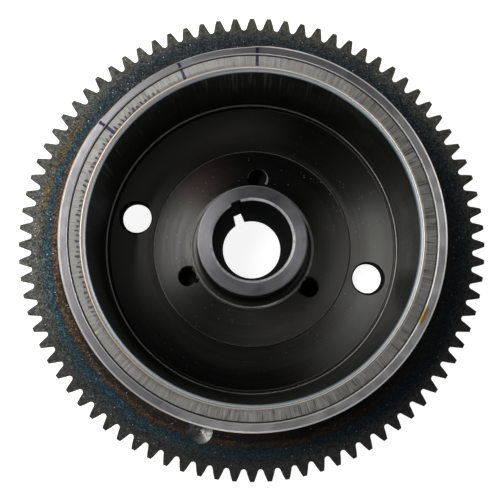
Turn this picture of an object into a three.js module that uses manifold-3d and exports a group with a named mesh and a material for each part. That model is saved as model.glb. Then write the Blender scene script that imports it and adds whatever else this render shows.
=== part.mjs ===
// Permanent-magnet flywheel of a small engine: a steel cup with a starter ring gear shrunk on its closed
// end, a boss with a tapered keyed bore, and a ring of magnets behind a thin sheet-metal liner.
// Millimetres, +Z along the crankshaft axis and out of the open mouth. The origin is on that axis, on the
// back face of the boss, which the flywheel rests on.
import * as THREE from "three";
import { mergeVertices } from "three/addons/utils/BufferGeometryUtils.js";
import Module from "manifold-3d";

const wasm = await Module();
wasm.setup();

const INCH = 25.4;
const FULL_TURN = 2 * Math.PI;

// Ring gear: a 12 diametral pitch starter gear, full depth, 20 degree pressure angle.
const GEAR_TEETH = 84;
const MODULE = INCH / 12;
const PRESSURE_ANGLE = THREE.MathUtils.degToRad(20);
const TOOTH_THINNING = 0.1; // backlash, taken off each tooth's thickness
const ROOT_FILLET = 1.1;
const GEAR_WIDTH = 11;
const PITCH_R = (MODULE * GEAR_TEETH) / 2;
const TIP_R = PITCH_R + MODULE;
const ROOT_R = PITCH_R - 1.25 * MODULE;

// Heights along the axis.
const BOSS_BACK_Z = 0;
const WEB_BACK_Z = 3.5;
const FLOOR_LOW_Z = 8.3; // the web's floor where it meets the boss flange
const FLOOR_HIGH_Z = 9; // and where it meets the skirt
const GEAR_FRONT_Z = 22.6;
const BOSS_FRONT_Z = 39.7;
const RIM_Z = 56.5;

// Cup.
const SKIRT_R = 68.7;
const SKIRT_BORE_R = 65;
const GEAR_SEAT_R = 67.5;
const BACK_CORNER_R = 6;
const FLOOR_CORNER = 2;
const RIM_CHAMFER = 0.7;
const MOUTH_CHAMFER = 0.5;
const FIT_GAP = 0.1; // radial room between pieces that are pressed or bonded together

// The stretch of the skirt's outside that the ignition pickup reads, cut back between two ramps.
const RELIEF_R = 67.9;
const RELIEF_START = 88.5;
const RELIEF_END = 143.4;
const RELIEF_RAMP = 7;
const RELIEF_LOW_Z = 32;

// Boss.
const BORE_MOUTH_R = 15;
const BORE_SMALL_R = 11.9;
const BORE_MOUTH_CHAMFER = 0.9;
const BORE_SMALL_CHAMFER = 0.6;
const BOSS_R = 20.6;
const BOSS_EDGE = 0.5;
const BOSS_FILLET = 4.2;
const BOSS_FOOT_Z = 11.3; // where the fillet runs out on the flange
const BOSS_BACK_R = 33.5; // the land it rests on, thick enough for the puller holes
const FLANGE_R = 40;
const FLANGE_EDGE = 0.4;
const SPIGOT_R = 35;
const FLANGE_STEP_Z = 6;
const KEYWAY_WIDTH = 4;
const KEYWAY_DEPTH = 15.75; // from the axis to the slot's bottom
const KEYWAY_ANGLE = 114;

// Holes, as angles from +X.
const PULLER_HOLES = {
  count: 3,
  circleR: 28.65,
  angle: 84.9,
  r: 3.45,
  mouthR: 4.2,
  depth: 7.5,
  pointDepth: 2,
};
const WEB_HOLES = { count: 2, circleR: 48.55, angle: 165.3, r: 6, mouthR: 6.8 };
const BALANCE_DRILL = { x: -20.1, y: -71.8, r: 5, depth: 2, pointDepth: 3 };

// Magnets, the cage between them, and the liner over both.
const MAGNETS = 12;
const MAGNET_ARC = 26;
const MAGNET_INNER_R = 59.7;
const MAGNET_OUTER_R = 64.8;
const MAGNET_LOW_Z = 12.7;
const MAGNET_HIGH_Z = 55.3;
const CAGE_RIB_ARC = 3;
const CAGE_LOW_Z = 9.5;
const CAGE_RING_TOP_Z = 12.5;
const LINER_R = 59;
const LINER_SHEET = 0.5;
const LINER_BEND = 1.4;
const LINER_FLANGE_R = 64.7;
const LINER_TOP_Z = 56.4;
const LINER_FOOT_Z = 9.3;
const LINER_LIP_R = 58.2;
const LINER_FOOT_BEND = 0.9;

const ROUND = 72; // facets round each turned piece
const HOLE_ROUND = 24;
const ARC_STEPS = 2; // half the chords in each arc of a profile
const SHEET_ARC_STEPS = 1; // the same, for the small bends of the sheet-metal liner

const blackSteel = new THREE.MeshStandardMaterial({ color: 0x1b1b1c, roughness: 0.45, metalness: 0.8 });
const bossSteel = new THREE.MeshStandardMaterial({ color: 0x3a3a3d, roughness: 0.4, metalness: 0.85 });
const gearSteel = new THREE.MeshStandardMaterial({ color: 0x26282a, roughness: 0.55, metalness: 0.8 });
const linerSteel = new THREE.MeshStandardMaterial({ color: 0x9b9a97, roughness: 0.3, metalness: 0.95 });
const ferrite = new THREE.MeshStandardMaterial({ color: 0x2b2b2d, roughness: 0.8, metalness: 0.1 });
const cagePlastic = new THREE.MeshStandardMaterial({ color: 0x141414, roughness: 0.7, metalness: 0 });

const radians = THREE.MathUtils.degToRad;

function polar(r, angle) {
  return new THREE.Vector2(r * Math.cos(angle), r * Math.sin(angle));
}

// Height of the boss flange's sloping face, and of the web's dished floor outside it, at radius r.
function flangeZ(r) {
  return THREE.MathUtils.mapLinear(r, BOSS_R + BOSS_FILLET, FLANGE_R, BOSS_FOOT_Z, FLOOR_LOW_Z);
}

function floorZ(r) {
  return THREE.MathUtils.mapLinear(r, FLANGE_R, LINER_LIP_R, FLOOR_LOW_Z, FLOOR_HIGH_Z);
}

// A turned solid from a closed profile in (radius, height), drawn anticlockwise.
function turned(path, arcSteps = ARC_STEPS) {
  path.closePath();
  return new THREE.LatheGeometry(path.getPoints(arcSteps), ROUND).rotateX(Math.PI / 2);
}

function extruded(shape, lowZ, highZ, curveSegments = ARC_STEPS) {
  const options = { depth: highZ - lowZ, bevelEnabled: false, curveSegments };
  return new THREE.ExtrudeGeometry(shape, options).translate(0, 0, lowZ);
}

function solidOf(geometry) {
  const bare = geometry.clone();
  bare.deleteAttribute("normal");
  bare.deleteAttribute("uv");
  const merged = mergeVertices(bare);
  const vertProperties = merged.attributes.position.array;
  const triVerts = new Uint32Array(merged.index.array);
  return new wasm.Manifold(new wasm.Mesh({ numProp: 3, vertProperties, triVerts }));
}

function geometryOf(solid) {
  const { vertProperties, triVerts } = solid.getMesh();
  const geometry = new THREE.BufferGeometry();
  geometry.setAttribute("position", new THREE.BufferAttribute(vertProperties, 3));
  geometry.setIndex(new THREE.BufferAttribute(triVerts, 1));
  geometry.computeVertexNormals();
  return geometry;
}

function cut(geometry, tools) {
  let solid = solidOf(geometry);
  for (const tool of tools) solid = solid.subtract(solidOf(tool));
  return geometryOf(solid);
}

// A ring of cutters, one for each hole, turned from a [radius, height] profile that runs from axis to axis.
function ringOfCutters({ count, circleR, angle }, profile) {
  const points = profile.map(([r, z]) => new THREE.Vector2(r, z));
  return Array.from({ length: count }, (_, i) => {
    const centre = polar(circleR, radians(angle) + (i * FULL_TURN) / count);
    const cutter = new THREE.LatheGeometry(points, HOLE_ROUND).rotateX(Math.PI / 2);
    return cutter.translate(centre.x, centre.y, 0);
  });
}

// The top of a hole's profile: opened out to mouthR by a 45 degree cone at height z, and on past it.
function mouthAt(z, { r, mouthR }) {
  const beyond = 2;
  return [
    [r, z - (mouthR - r)],
    [mouthR + beyond, z + beyond],
    [0, z + beyond],
  ];
}

function throughHoles(holes, lowZ, highZ) {
  const below = mouthAt(-lowZ, holes).map(([r, z]) => [r, -z]);
  return ringOfCutters(holes, [...below.toReversed(), ...mouthAt(highZ, holes)]);
}

// Drilled part of the way, with the drill's cone at the bottom.
function blindHoles(holes, highZ) {
  const bottomZ = highZ - holes.depth;
  const drilled = [
    [0, bottomZ - holes.pointDepth],
    [holes.r, bottomZ],
  ];
  return ringOfCutters(holes, [...drilled, ...mouthAt(highZ, holes)]);
}

// Cup: closed end, gear seat and shoulder, skirt, and a floor that dishes towards the boss.
function rotorShell() {
  const path = new THREE.Path();
  path.moveTo(SPIGOT_R + FIT_GAP, WEB_BACK_Z);
  path.lineTo(GEAR_SEAT_R - BACK_CORNER_R, WEB_BACK_Z);
  path.absarc(GEAR_SEAT_R - BACK_CORNER_R, WEB_BACK_Z + BACK_CORNER_R, BACK_CORNER_R, -Math.PI / 2, 0);
  path.lineTo(GEAR_SEAT_R, GEAR_FRONT_Z).lineTo(SKIRT_R, GEAR_FRONT_Z);
  path.lineTo(SKIRT_R, RIM_Z - RIM_CHAMFER).lineTo(SKIRT_R - RIM_CHAMFER, RIM_Z);
  path.lineTo(SKIRT_BORE_R + MOUTH_CHAMFER, RIM_Z).lineTo(SKIRT_BORE_R, RIM_Z - MOUTH_CHAMFER);
  path.lineTo(SKIRT_BORE_R, FLOOR_HIGH_Z + FLOOR_CORNER).lineTo(SKIRT_BORE_R - FLOOR_CORNER, FLOOR_HIGH_Z);
  path.lineTo(LINER_LIP_R, FLOOR_HIGH_Z).lineTo(FLANGE_R + FIT_GAP, FLOOR_LOW_Z);
  path.lineTo(FLANGE_R + FIT_GAP, FLANGE_STEP_Z - FIT_GAP);
  path.lineTo(SPIGOT_R + FIT_GAP, FLANGE_STEP_Z - FIT_GAP);
  const webHoles = throughHoles(WEB_HOLES, WEB_BACK_Z, floorZ(WEB_HOLES.circleR));
  return cut(turned(path), [...webHoles, reliefCutter()]);
}

// The space outside the relieved stretch of the skirt: an arc with a ramp at each end.
function reliefCutter() {
  const [start, end, ramp] = [RELIEF_START, RELIEF_END, RELIEF_RAMP].map(radians);
  const clearR = SKIRT_R + MODULE;
  const shape = new THREE.Shape([polar(SKIRT_R, start - ramp / 2)]);
  shape.absarc(0, 0, clearR, start - ramp / 2, end + ramp / 2, false);
  shape.lineTo(...polar(SKIRT_R, end + ramp / 2).toArray());
  shape.absarc(0, 0, RELIEF_R, end - ramp / 2, start + ramp / 2, true);
  return extruded(shape, RELIEF_LOW_Z, RIM_Z + MODULE, 8);
}

// Boss: tapered bore, nose, and the flange that fills the middle of the web.
function hubBoss() {
  const path = new THREE.Path();
  path.moveTo(BORE_SMALL_R + BORE_SMALL_CHAMFER, BOSS_BACK_Z).lineTo(BOSS_BACK_R, BOSS_BACK_Z);
  path.lineTo(BOSS_BACK_R, WEB_BACK_Z).lineTo(SPIGOT_R, WEB_BACK_Z).lineTo(SPIGOT_R, FLANGE_STEP_Z);
  path.lineTo(FLANGE_R, FLANGE_STEP_Z).lineTo(FLANGE_R, FLOOR_LOW_Z);
  path.lineTo(FLANGE_R - FLANGE_EDGE, FLOOR_LOW_Z + FLANGE_EDGE);
  path.lineTo(BOSS_R + BOSS_FILLET, BOSS_FOOT_Z);
  path.absarc(BOSS_R + BOSS_FILLET, BOSS_FOOT_Z + BOSS_FILLET, BOSS_FILLET, -Math.PI / 2, Math.PI, true);
  path.lineTo(BOSS_R, BOSS_FRONT_Z - BOSS_EDGE).lineTo(BOSS_R - BOSS_EDGE, BOSS_FRONT_Z);
  path.lineTo(BORE_MOUTH_R + BORE_MOUTH_CHAMFER, BOSS_FRONT_Z);
  path.lineTo(BORE_MOUTH_R, BOSS_FRONT_Z - BORE_MOUTH_CHAMFER);
  path.lineTo(BORE_SMALL_R, BOSS_BACK_Z + BORE_SMALL_CHAMFER);
  const beyond = 1;
  const keyway = new THREE.BoxGeometry(KEYWAY_DEPTH, KEYWAY_WIDTH, BOSS_FRONT_Z + 2 * beyond);
  keyway.translate(KEYWAY_DEPTH / 2, 0, BOSS_FRONT_Z / 2).rotateZ(radians(KEYWAY_ANGLE));
  const pullerHoles = blindHoles(PULLER_HOLES, flangeZ(PULLER_HOLES.circleR));
  return cut(turned(path), [keyway, ...pullerHoles]);
}

// Angle from a tooth's centreline to its flank at radius r, from the involute of the base circle.
function flankAngle(r) {
  const involute = (a) => Math.tan(a) - a;
  const here = Math.acos((PITCH_R * Math.cos(PRESSURE_ANGLE)) / r);
  const thinned = TOOTH_THINNING / (2 * PITCH_R);
  return Math.PI / (2 * GEAR_TEETH) + involute(PRESSURE_ANGLE) - involute(here) - thinned;
}

function ringGear() {
  const halfPitch = Math.PI / GEAR_TEETH;
  // One side of a tooth from the root to the tip, as [radius, angle from the centreline].
  const side = [
    [ROOT_R, halfPitch - (0.6 * ROOT_FILLET) / ROOT_R],
    ...[ROOT_R + ROOT_FILLET, PITCH_R, TIP_R].map((r) => [r, flankAngle(r)]),
  ];
  const outline = [];
  for (let i = 0; i < GEAR_TEETH; i++) {
    const centre = (i * FULL_TURN) / GEAR_TEETH;
    for (const [r, a] of side) outline.push(polar(r, centre - a));
    for (const [r, a] of side.toReversed()) outline.push(polar(r, centre + a));
  }
  const shape = new THREE.Shape(outline);
  const bore = Array.from({ length: ROUND }, (_, i) => polar(GEAR_SEAT_R + FIT_GAP, (i * FULL_TURN) / ROUND));
  shape.holes.push(new THREE.Path(bore));
  return cut(extruded(shape, GEAR_FRONT_Z - GEAR_WIDTH, GEAR_FRONT_Z), [balanceDrill()]);
}

// The drill that lightened the ring gear's front face to balance the flywheel.
function balanceDrill() {
  const { x, y, r, depth, pointDepth } = BALANCE_DRILL;
  const points = [
    [0, -depth - pointDepth],
    [r, -depth],
    [r, depth],
    [0, depth],
  ].map(([radius, z]) => new THREE.Vector2(radius, GEAR_FRONT_Z + z));
  return new THREE.LatheGeometry(points, HOLE_ROUND).rotateX(Math.PI / 2).translate(x, y, 0);
}

// Arc-shaped block between two radii, centred on an angle in degrees.
function arcBlock(innerR, outerR, angle, arc, lowZ, highZ) {
  const [start, end] = [radians(angle - arc / 2), radians(angle + arc / 2)];
  const shape = new THREE.Shape();
  shape.absarc(0, 0, outerR, start, end, false);
  shape.absarc(0, 0, innerR, end, start, true);
  return extruded(shape, lowZ, highZ, 3);
}

// Moulded cage: a foot ring on the floor, and a rib in each gap between magnets.
function magnetCage() {
  const path = new THREE.Path();
  path.moveTo(MAGNET_INNER_R, CAGE_LOW_Z).lineTo(MAGNET_OUTER_R - FLOOR_CORNER, CAGE_LOW_Z);
  path.lineTo(MAGNET_OUTER_R, CAGE_LOW_Z + FLOOR_CORNER).lineTo(MAGNET_OUTER_R, CAGE_RING_TOP_Z);
  path.lineTo(MAGNET_INNER_R, CAGE_RING_TOP_Z);
  let solid = solidOf(turned(path));
  for (let i = 0; i < MAGNETS; i++) {
    const angle = (i * 360) / MAGNETS;
    const [innerR, outerR] = [MAGNET_INNER_R + FIT_GAP, MAGNET_OUTER_R - FIT_GAP];
    const rib = arcBlock(innerR, outerR, angle, CAGE_RIB_ARC, CAGE_RING_TOP_Z - 1, MAGNET_HIGH_Z);
    solid = solid.add(solidOf(rib));
  }
  return geometryOf(solid);
}

// Drawn sheet-metal liner: a sleeve over the magnets, flanged out over their ends and lipped in at the foot.
function magnetLiner() {
  const topBendR = LINER_R + LINER_BEND;
  const topBendZ = LINER_TOP_Z - LINER_BEND;
  const footBendR = LINER_R - LINER_FOOT_BEND + LINER_SHEET;
  const footBendZ = LINER_FOOT_Z + LINER_FOOT_BEND;
  const path = new THREE.Path();
  path.moveTo(LINER_LIP_R, LINER_FOOT_Z).lineTo(footBendR, LINER_FOOT_Z);
  path.absarc(footBendR, footBendZ, LINER_FOOT_BEND, -Math.PI / 2, 0, false);
  path.absarc(topBendR, topBendZ, LINER_BEND - LINER_SHEET, Math.PI, Math.PI / 2, true);
  path.lineTo(LINER_FLANGE_R, LINER_TOP_Z - LINER_SHEET).lineTo(LINER_FLANGE_R, LINER_TOP_Z);
  path.absarc(topBendR, topBendZ, LINER_BEND, Math.PI / 2, Math.PI, false);
  path.absarc(footBendR, footBendZ, LINER_FOOT_BEND - LINER_SHEET, 0, -Math.PI / 2, true);
  path.lineTo(LINER_LIP_R, LINER_FOOT_Z + LINER_SHEET);
  return turned(path, SHEET_ARC_STEPS);
}

function addPiece(group, name, geometry, material) {
  const mesh = new THREE.Mesh(geometry, material);
  mesh.name = name;
  group.add(mesh);
}

const flywheel = new THREE.Group();
addPiece(flywheel, "rotor_shell", rotorShell(), blackSteel);
addPiece(flywheel, "hub_boss", hubBoss(), bossSteel);
addPiece(flywheel, "ring_gear", ringGear(), gearSteel);
addPiece(flywheel, "magnet_liner", magnetLiner(), linerSteel);
addPiece(flywheel, "magnet_cage", magnetCage(), cagePlastic);
for (let i = 0; i < MAGNETS; i++) {
  const angle = ((i + 0.5) * 360) / MAGNETS;
  const block = arcBlock(MAGNET_INNER_R, MAGNET_OUTER_R, angle, MAGNET_ARC, MAGNET_LOW_Z, MAGNET_HIGH_Z);
  addPiece(flywheel, `magnet_${String(i + 1).padStart(2, "0")}`, block, ferrite);
}

export default flywheel;
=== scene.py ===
import math

import bpy
import numpy as np
from mathutils import Matrix, Vector


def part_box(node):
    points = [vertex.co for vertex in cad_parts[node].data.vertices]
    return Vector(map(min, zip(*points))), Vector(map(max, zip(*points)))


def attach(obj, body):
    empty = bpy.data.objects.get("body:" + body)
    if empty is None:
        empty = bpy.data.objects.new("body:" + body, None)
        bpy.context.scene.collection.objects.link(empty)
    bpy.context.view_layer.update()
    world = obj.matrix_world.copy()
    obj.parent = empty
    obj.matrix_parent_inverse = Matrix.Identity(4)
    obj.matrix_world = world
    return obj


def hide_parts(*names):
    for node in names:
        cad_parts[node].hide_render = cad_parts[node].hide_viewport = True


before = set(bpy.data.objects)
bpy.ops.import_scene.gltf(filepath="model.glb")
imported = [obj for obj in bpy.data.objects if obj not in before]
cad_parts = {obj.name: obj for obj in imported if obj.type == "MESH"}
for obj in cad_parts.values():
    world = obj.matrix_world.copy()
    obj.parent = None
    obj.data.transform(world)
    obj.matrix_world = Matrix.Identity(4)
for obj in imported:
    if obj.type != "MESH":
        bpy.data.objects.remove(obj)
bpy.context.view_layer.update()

# The flywheel's fine surfaces and finishes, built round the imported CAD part. Lengths are millimetres in the
# part's own frame, the axis is Z, and angles run anticlockwise from +X, until a mesh is made in metres.
MM = 0.001
BODY = "root"


def extent(node):
    """The lowest and highest z of a CAD node, and how far it reaches along +X."""
    low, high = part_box(node)
    return low.z / MM, high.z / MM, high.x / MM


# What the frame gives.
BOSS_BACK_Z, BOSS_FRONT_Z, FLANGE_R = extent("hub_boss")
WEB_BACK_Z, RIM_Z, SKIRT_R = extent("rotor_shell")
GEAR_BACK_Z, GEAR_FRONT_Z, TIP_R = extent("ring_gear")
LINER_FOOT_Z, LINER_TOP_Z, LINER_FLANGE_R = extent("magnet_liner")
CAGE_LOW_Z = extent("magnet_cage")[0]
MAGNET_LOW_Z, MAGNET_HIGH_Z, _ = extent("magnet_01")

# Driving values that the frame's boxes don't show.
GEAR_TEETH = 84
MODULE = TIP_R / (GEAR_TEETH / 2 + 1)
PITCH_R = MODULE * GEAR_TEETH / 2
ROOT_R = PITCH_R - 1.25 * MODULE
PRESSURE_ANGLE = math.radians(20)
TOOTH_THINNING = 0.1
ROOT_FILLET = 1.15
TOOTH_EDGE = 0.18
GEAR_SEAT_R = 67.5
SKIRT_BORE_R = 65
BACK_CORNER_R = 6
FLOOR_LOW_Z = 8.3
FLOOR_GROOVE_R = 57.7
FLOOR_HIGH_Z = 9
RELIEF_R = 67.9
RELIEF_START, RELIEF_END, RELIEF_RAMP = 88.5, 143.4, 7
RELIEF_LOW_Z = 32
RELIEF_EDGE = 0.3
BORE_MOUTH_R, BORE_SMALL_R = 15, 11.9
BOSS_R = 20.6
BOSS_FILLET = 4.2
BOSS_FOOT_Z = 11.3
FOOT_LINE_R = BOSS_R + BOSS_FILLET
BOSS_BACK_R = 33.5
SPIGOT_R = 35
FLANGE_STEP_Z = 6
FLANGE_SLOPE = 0.2
KEYWAY_WIDTH, KEYWAY_DEPTH, KEYWAY_ANGLE = 4, 15.75, 114
PULLER_ANGLES = [84.9, 204.9, 324.9]
PULLER_CIRCLE_R, PULLER_R, PULLER_MOUTH_R = 28.65, 3.45, 4.15
PULLER_DEPTH, PULLER_POINT = 7.5, 2
THREAD_PITCH, THREAD_DEPTH = 1.25, 0.5
HOLE_STEPS, DRILL_TIP_R = 64, 0.02
WEB_HOLE_ANGLES = [165.3, 345.3]
WEB_HOLE_CIRCLE_R, WEB_HOLE_R, WEB_HOLE_MOUTH_R = 48.55, 6, 6.8
DRILL_X, DRILL_Y, DRILL_R, DRILL_DEPTH, DRILL_POINT = -20.1, -71.8, 5, 2, 3
LINER_R, LINER_SHEET, LINER_BEND = 59, 0.5, 1.4
LINER_LIP_R, LINER_FOOT_BEND = 58.2, 0.9
LINER_EDGE_R = LINER_FLANGE_R + 0.1
LIP_PARTING_R, WRINKLES_R = 60.1, 60.9
WRINKLE_DEPTH, DENT_DEPTH, DENTS_ANGLE = 0.035, 0.09, 165
SKIRT_MOUTH_R = SKIRT_BORE_R + 0.15
MAGNETS, MAGNET_ARC, MAGNET_INNER_R, MAGNET_OUTER_R = 12, 26, 59.7, 64.8
CAGE_RIB_ARC, CAGE_RING_TOP_Z, CAGE_CORNER = 3, 12.5, 2
MARK_ANGLES = [88.6, 113.3, 143.4]

# Extra rings of points on long straight stretches, which keep the meshes' faces short.
FLOOR_RINGS_R = (52, 46)
LINER_RINGS_Z = (40, 25)
GEAR_RINGS_R = (81, 75)

# Where the camera stands: the point it looks at, the tilts of its axis off the part's, and its distance.
AIM = Vector((-0.81, -2.10, GEAR_FRONT_Z))
CAMERA_TILT_Y, CAMERA_TILT_X = 5.25, 0.37
CAMERA_DISTANCE = 335.5
CAMERA_LENS = 61.86


# ---------- outlines and meshes

def polar(radius, degrees):
    return radius * math.cos(math.radians(degrees)), radius * math.sin(math.radians(degrees))


def rounded(corners, arc_step=15):
    """A closed outline through (x, y) or (x, y, radius) corners, rounding those that have a radius."""
    points = []
    for i, corner in enumerate(corners):
        here = Vector(corner[:2])
        if len(corner) == 2:
            points.append(tuple(here))
            continue
        before = (Vector(corners[i - 1][:2]) - here).normalized()
        after = (Vector(corners[(i + 1) % len(corners)][:2]) - here).normalized()
        half = before.angle(after) / 2
        reach_along = corner[2] / math.tan(half)
        centre = here + (before + after).normalized() * corner[2] / math.sin(half)
        start = here + before * reach_along - centre
        turn = start.angle_signed(here + after * reach_along - centre)
        steps = max(2, round(abs(math.degrees(turn)) / arc_step))
        for k in range(steps + 1):
            points.append(tuple(centre + Matrix.Rotation(-turn * k / steps, 2) @ start))
    return points


def lathe(profile, steps, shape=None):
    """Points and quads of a closed (radius, height) profile, drawn anticlockwise and spun round Z."""
    angles = np.arange(steps) * 2 * math.pi / steps
    radius, height = (np.array(column, float) for column in zip(*profile))
    a, r = np.meshgrid(angles, radius, indexing="ij")
    z = np.broadcast_to(height, a.shape)
    if shape:
        r, z = shape(r, z, np.degrees(a))
    points = np.stack([r * np.cos(a), r * np.sin(a), z], -1).reshape(-1, 3)
    return points, grid_faces(steps, len(profile), True, True)


def grid_faces(columns, rows, wrap_columns, wrap_rows):
    """Quads of a grid whose point (column, row) has the number column * rows + row."""
    faces = []
    for c in range(columns if wrap_columns else columns - 1):
        following = (c + 1) % columns * rows
        for r in range(rows if wrap_rows else rows - 1):
            above = (r + 1) % rows
            faces.append((c * rows + r, following + r, following + above, c * rows + above))
    return faces


def add_object(name, data):
    made = bpy.data.objects.new(name, data)
    bpy.context.scene.collection.objects.link(made)
    return made


def new_object(name, points, faces):
    mesh = bpy.data.meshes.new(name)
    mesh.from_pydata((np.array(points, float) * MM).tolist(), [], faces)
    return add_object(name, mesh)


def combine(piece, operation, *tools):
    """Cuts the tools out of the piece (DIFFERENCE) or joins them to it (UNION), and removes the tools."""
    for tool in tools:
        modifier = piece.modifiers.new("tool", "BOOLEAN")
        modifier.operation = operation
        modifier.solver = "MANIFOLD"
        modifier.object = tool
    graph = bpy.context.evaluated_depsgraph_get()
    made = bpy.data.meshes.new_from_object(piece.evaluated_get(graph))
    piece.modifiers.clear()
    piece.data = made
    made.name = piece.name
    for tool in tools:
        bpy.data.objects.remove(tool)


def finish_piece(piece, node, materials, zone=None, sharp=30):
    """Smooth shading between sharp edges, the materials, and the piece's place in the frame."""
    mesh = piece.data
    mesh.materials.clear()
    for material in materials:
        mesh.materials.append(material)
    for face in mesh.polygons:
        face.use_smooth = True
        face.material_index = 0
        if zone:
            x, y, z = face.center / MM
            face.material_index = zone(math.hypot(x, y), z, face.normal, x, y)
    mesh.set_sharp_from_angle(angle=math.radians(sharp))
    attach(piece, BODY)
    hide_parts(node)


# ---------- node graphs

def fill(tree, node, values):
    """Puts each value, or a link from another node's output, into the input of that name or number."""
    for key, value in values.items():
        if isinstance(value, bpy.types.NodeSocket):
            tree.links.new(value, node.inputs[key])
        else:
            node.inputs[key].default_value = value


def add_node(tree, kind, *values, **settings):
    """A new node with those settings, and those values in its first inputs."""
    node = tree.nodes.new("ShaderNode" + kind)
    for name, setting in settings.items():
        setattr(node, name, setting)
    fill(tree, node, dict(enumerate(values)))
    return node


class Graph:
    """A material's nodes, with short calls for what the finishes share."""

    def __init__(self, name):
        self.material = bpy.data.materials.new(name)
        self.material.use_nodes = True
        self.tree = self.material.node_tree
        self.colour = None
        in_mm = self.node("VectorMath", self.node("TexCoord").outputs["Object"], operation="SCALE")
        in_mm.inputs["Scale"].default_value = 1 / MM
        self.place = in_mm.outputs[0]
        self.x, self.y, self.z = self.node("SeparateXYZ", self.place).outputs
        flat = self.join(self.x, self.y, 0.0)
        self.r = self.vector("LENGTH", flat)
        self.cos, self.sin, _ = self.node("SeparateXYZ", self.vector("NORMALIZE", flat)).outputs

    def node(self, kind, *values, **settings):
        return add_node(self.tree, kind, *values, **settings)

    def math(self, operation, a, b=0.0, clamp=False):
        return self.node("Math", a, b, operation=operation, use_clamp=clamp).outputs[0]

    def times(self, a, b):
        return self.math("MULTIPLY", a, b)

    def most(self, a, b):
        return self.math("MAXIMUM", a, b)

    def vector(self, operation, *values):
        node = self.node("VectorMath", *values, operation=operation)
        return node.outputs["Value" if operation == "LENGTH" else "Vector"]

    def join(self, x, y, z):
        return self.node("CombineXYZ", x, y, z).outputs[0]

    def noise(self, vector, scale=1.0, detail=2.0, rough=0.5, w=None):
        node = self.node("TexNoise", noise_dimensions="3D" if w is None else "4D")
        fill(self.tree, node, {"Vector": vector, "Scale": scale, "Detail": detail, "Roughness": rough})
        if w is not None:
            fill(self.tree, node, {"W": w})
        return node.outputs[0]

    def cloud(self, scale, detail=3, rough=0.5):
        return self.noise(self.place, scale, detail, rough)

    def specks(self, density, size, keep):
        """Round specks: density is cells per millimetre, size is in cells, keep is the share that has one."""
        cells = self.node("TexVoronoi", self.place)
        cells.inputs["Scale"].default_value = density
        near = self.level(cells.outputs["Distance"], size, size * 0.3)
        chance = self.node("SeparateColor", cells.outputs["Color"]).outputs[0]
        return self.times(near, self.level(chance, keep, keep * 0.7))

    def level(self, value, low, high, to_low=0.0, to_high=1.0):
        """value taken from low..high to to_low..to_high, held at both ends, with a smooth start and stop."""
        numbers = (value, low, high, to_low, to_high)
        return self.node("MapRange", *numbers, interpolation_type="SMOOTHSTEP").outputs[0]

    def band(self, value, low, high, soft):
        rise = self.level(value, low - soft, low + soft)
        return self.times(rise, self.level(value, high + soft, high - soft))

    def sector(self, centre, half, soft):
        """1 within half degrees of the centre angle, fading over soft degrees on either side of that edge."""
        c, s = polar(1, centre)
        toward = self.math("ADD", self.times(self.cos, c), self.times(self.sin, s))
        edges = [math.cos(math.radians(min(180, half + d))) for d in (soft, -min(soft, half))]
        return self.level(toward, *edges)

    def stroke(self, angle, width):
        """A radial stroke of that width, in millimetres."""
        c, s = polar(1, angle)
        along = self.math("ADD", self.times(self.x, c), self.times(self.y, s))
        across = self.math("SUBTRACT", self.times(self.y, c), self.times(self.x, s))
        wander = self.times(self.math("SUBTRACT", self.cloud(1.1), 0.5), 0.5)
        inside = self.level(
            self.math("ABSOLUTE", self.math("ADD", across, wander)), width / 2 + 0.12, width / 2 - 0.12
        )
        return self.times(inside, self.math("GREATER_THAN", along, 0.0))

    def mix(self, share, a, b, blend="MIX"):
        a, b = ((*tint, 1.0) if isinstance(tint, tuple) else tint for tint in (a, b))
        node = self.node("Mix", share, data_type="RGBA", blend_type=blend)
        fill(self.tree, node, {6: a, 7: b})
        return node.outputs[2]

    def base(self, pattern, dark, light, low=0.3, high=0.7):
        """Starts the base colour: dark where the pattern is below low, light where it is above high."""
        self.colour = self.mix(self.level(pattern, low, high), dark, light)

    def paint(self, share, tint, blend="MIX"):
        """Lays a tint over the base colour, by a share from 0 to 1."""
        self.colour = self.mix(share, self.colour, tint, blend)

    def coat(self, share, amount, tint, blend="MIX"):
        """Paints at that amount of the share."""
        self.paint(self.times(share, amount), tint, blend)

    def ramp(self, value, stops):
        node = self.node("ValToRGB", value)
        elements = node.color_ramp.elements
        while len(elements) < len(stops):
            elements.new(0.5)
        for element, (position, colour) in zip(elements, stops):
            element.position = position
            element.color = (*colour, 1.0)
        return node.outputs[0]

    def bump(self, height, depth, after=None):
        """A bump of that depth in millimetres."""
        node = self.node("Bump")
        fill(self.tree, node, {"Distance": depth * MM, "Height": height})
        if after is not None:
            fill(self.tree, node, {"Normal": after})
        return node.outputs[0]

    def turning(self, fine, drift=1.2):
        """Circular tool marks, fine to the millimetre, that hardly change round the axis."""
        around = self.join(self.times(self.r, fine), self.times(self.cos, drift), self.times(self.sin, drift))
        return self.noise(around, 1.0, 3, 0.65, w=self.times(self.z, fine))

    def fan(self, streaks, along=0.15):
        """Radial streaks: about that many to a radian, that hardly change along the radius or the axis."""
        spread = self.join(
            self.times(self.cos, streaks),
            self.times(self.sin, streaks),
            self.times(self.r, along),
        )
        return self.noise(spread, 1.0, 2, 0.6, w=self.times(self.z, along))

    def done(self, roughness, normal, metallic=1.0, specular=0.5, anisotropy=0.0):
        """Wires the shader up. Anisotropic highlights spread across tool marks that run round the axis."""
        values = {"Base Color": self.colour, "Roughness": roughness, "Normal": normal}
        values |= {"Metallic": metallic, "Specular IOR Level": specular}
        if anisotropy:
            around_axis = self.node("Tangent", direction_type="RADIAL", axis="Z").outputs[0]
            values |= {"Anisotropic": anisotropy, "Anisotropic Rotation": 0.25, "Tangent": around_axis}
        fill(self.tree, self.tree.nodes["Principled BSDF"], values)
        return self.material


# ---------- finishes

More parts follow.
